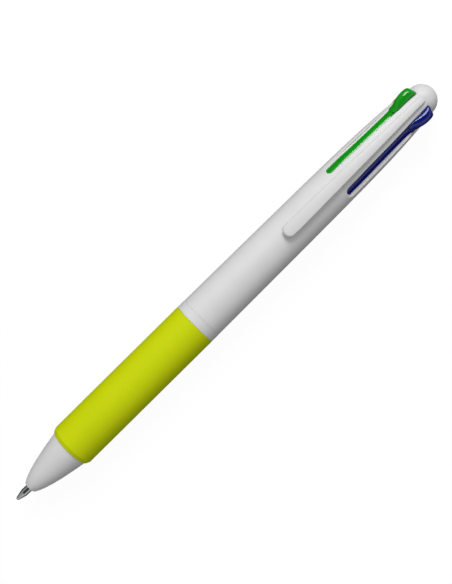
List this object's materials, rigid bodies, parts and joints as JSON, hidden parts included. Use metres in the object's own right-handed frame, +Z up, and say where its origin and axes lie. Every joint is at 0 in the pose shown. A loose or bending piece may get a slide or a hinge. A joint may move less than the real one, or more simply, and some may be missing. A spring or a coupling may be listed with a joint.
{
  "type": "multicolor click pen",
  "caption": "Slim white click pen with a lime rubber grip, a long clip and a slider for each ink colour around the rear barrel, shown with a writing tip out.",
  "frame": {"origin": "on the desk under the middle of the pen, which lies on its grip with the clip on top", "axes": "+X along the pen from the writing tip to the domed cap, +Z up from the desk to the clip, +Y across"},
  "size_m": [0.145, 0.012, 0.0134],
  "materials": {
    "white_plastic": "smooth glossy moulded white plastic",
    "lime_rubber": "satin lime-green rubber",
    "natural_plastic": "plain moulded plastic",
    "black_plastic": "glossy black plastic",
    "green_plastic": "glossy green plastic",
    "blue_plastic": "glossy dark blue plastic",
    "red_plastic": "glossy red plastic",
    "spring_steel": "bright drawn spring wire",
    "refill_plastic": "milky refill tube",
    "tip_metal": "turned nickel silver",
    "ball_steel": "polished ball",
    "black_ink": "ink",
    "green_ink": "ink",
    "blue_ink": "ink",
    "red_ink": "ink"
  },
  "bodies": {
    "casing": {"lower_barrel": "white_plastic", "grip_sleeve": "lime_rubber", "refill_guide": "natural_plastic", "upper_barrel": "white_plastic", "end_cap": "white_plastic", "latch_post": "natural_plastic", "black_spring": "spring_steel", "green_spring": "spring_steel", "blue_spring": "spring_steel", "red_spring": "spring_steel"},
    "clip": {"clip_arm": "white_plastic"},
    "black_slide": {"black_slider": "black_plastic"},
    "black_refill": {"black_tube": "refill_plastic", "black_tip": "tip_metal", "black_ball": "ball_steel", "black_ink": "black_ink"},
    "green_slide": {"green_slider": "green_plastic"},
    "green_refill": {"green_tube": "refill_plastic", "green_tip": "tip_metal", "green_ball": "ball_steel", "green_ink": "green_ink"},
    "blue_slide": {"blue_slider": "blue_plastic"},
    "blue_refill": {"blue_tube": "refill_plastic", "blue_tip": "tip_metal", "blue_ball": "ball_steel", "blue_ink": "blue_ink"},
    "red_slide": {"red_slider": "red_plastic"},
    "red_refill": {"red_tube": "refill_plastic", "red_tip": "tip_metal", "red_ball": "ball_steel", "red_ink": "red_ink"}
  },
  "joints": [
    {"name": "clip_flex", "type": "hinge", "parent": "casing", "child": "clip", "pos_m": [0.0689, 0, 0.0095], "axis": [0, 1, 0], "range_deg": [0, 3], "stiffness_Nm_per_rad": 3},
    {"name": "black_press", "type": "slide", "parent": "casing", "child": "black_slide", "axis": [-1, 0, 0], "range_m": [-0.01, 0], "deforming": ["black_spring", "black_tip", "black_ball"]},
    {"name": "black_lean", "type": "hinge", "parent": "black_slide", "child": "black_refill", "pos_m": [0.01985, -0.00205, 0.004], "axis": [0, 0.7071, -0.7071], "range_deg": [-1.52, 0]},
    {"name": "green_press", "type": "slide", "parent": "casing", "child": "green_slide", "axis": [-1, 0, 0], "range_m": [0, 0.01], "stiffness_N_per_m": 150, "springref_m": -0.003, "deforming": ["green_spring", "green_tube", "green_tip", "green_ball", "green_ink"]},
    {"name": "green_lean", "type": "hinge", "parent": "green_slide", "child": "green_refill", "pos_m": [0.02985, 0.00205, 0.0081], "axis": [0, -0.7071, 0.7071], "range_deg": [0, 1.52]},
    {"name": "blue_press", "type": "slide", "parent": "casing", "child": "blue_slide", "axis": [-1, 0, 0], "range_m": [0, 0.01], "stiffness_N_per_m": 150, "springref_m": -0.003, "deforming": ["blue_spring", "blue_tube", "blue_tip", "blue_ball", "blue_ink"]},
    {"name": "blue_lean", "type": "hinge", "parent": "blue_slide", "child": "blue_refill", "pos_m": [0.02985, -0.00205, 0.0081], "axis": [0, -0.7071, -0.7071], "range_deg": [0, 1.52]},
    {"name": "red_press", "type": "slide", "parent": "casing", "child": "red_slide", "axis": [-1, 0, 0], "range_m": [0, 0.01], "stiffness_N_per_m": 150, "springref_m": -0.003, "deforming": ["red_spring", "red_tube", "red_tip", "red_ball", "red_ink"]},
    {"name": "red_lean", "type": "hinge", "parent": "red_slide", "child": "red_refill", "pos_m": [0.02985, 0.00205, 0.004], "axis": [0, 0.7071, 0.7071], "range_deg": [0, 1.52]}
  ],
  "couplings": [
    {"joint": "black_lean", "follows": "black_press", "rad_per_m": 2.6505},
    {"joint": "green_lean", "follows": "green_press", "rad_per_m": 2.6505},
    {"joint": "blue_lean", "follows": "blue_press", "rad_per_m": 2.6505},
    {"joint": "red_lean", "follows": "red_press", "rad_per_m": 2.6505}
  ]
}
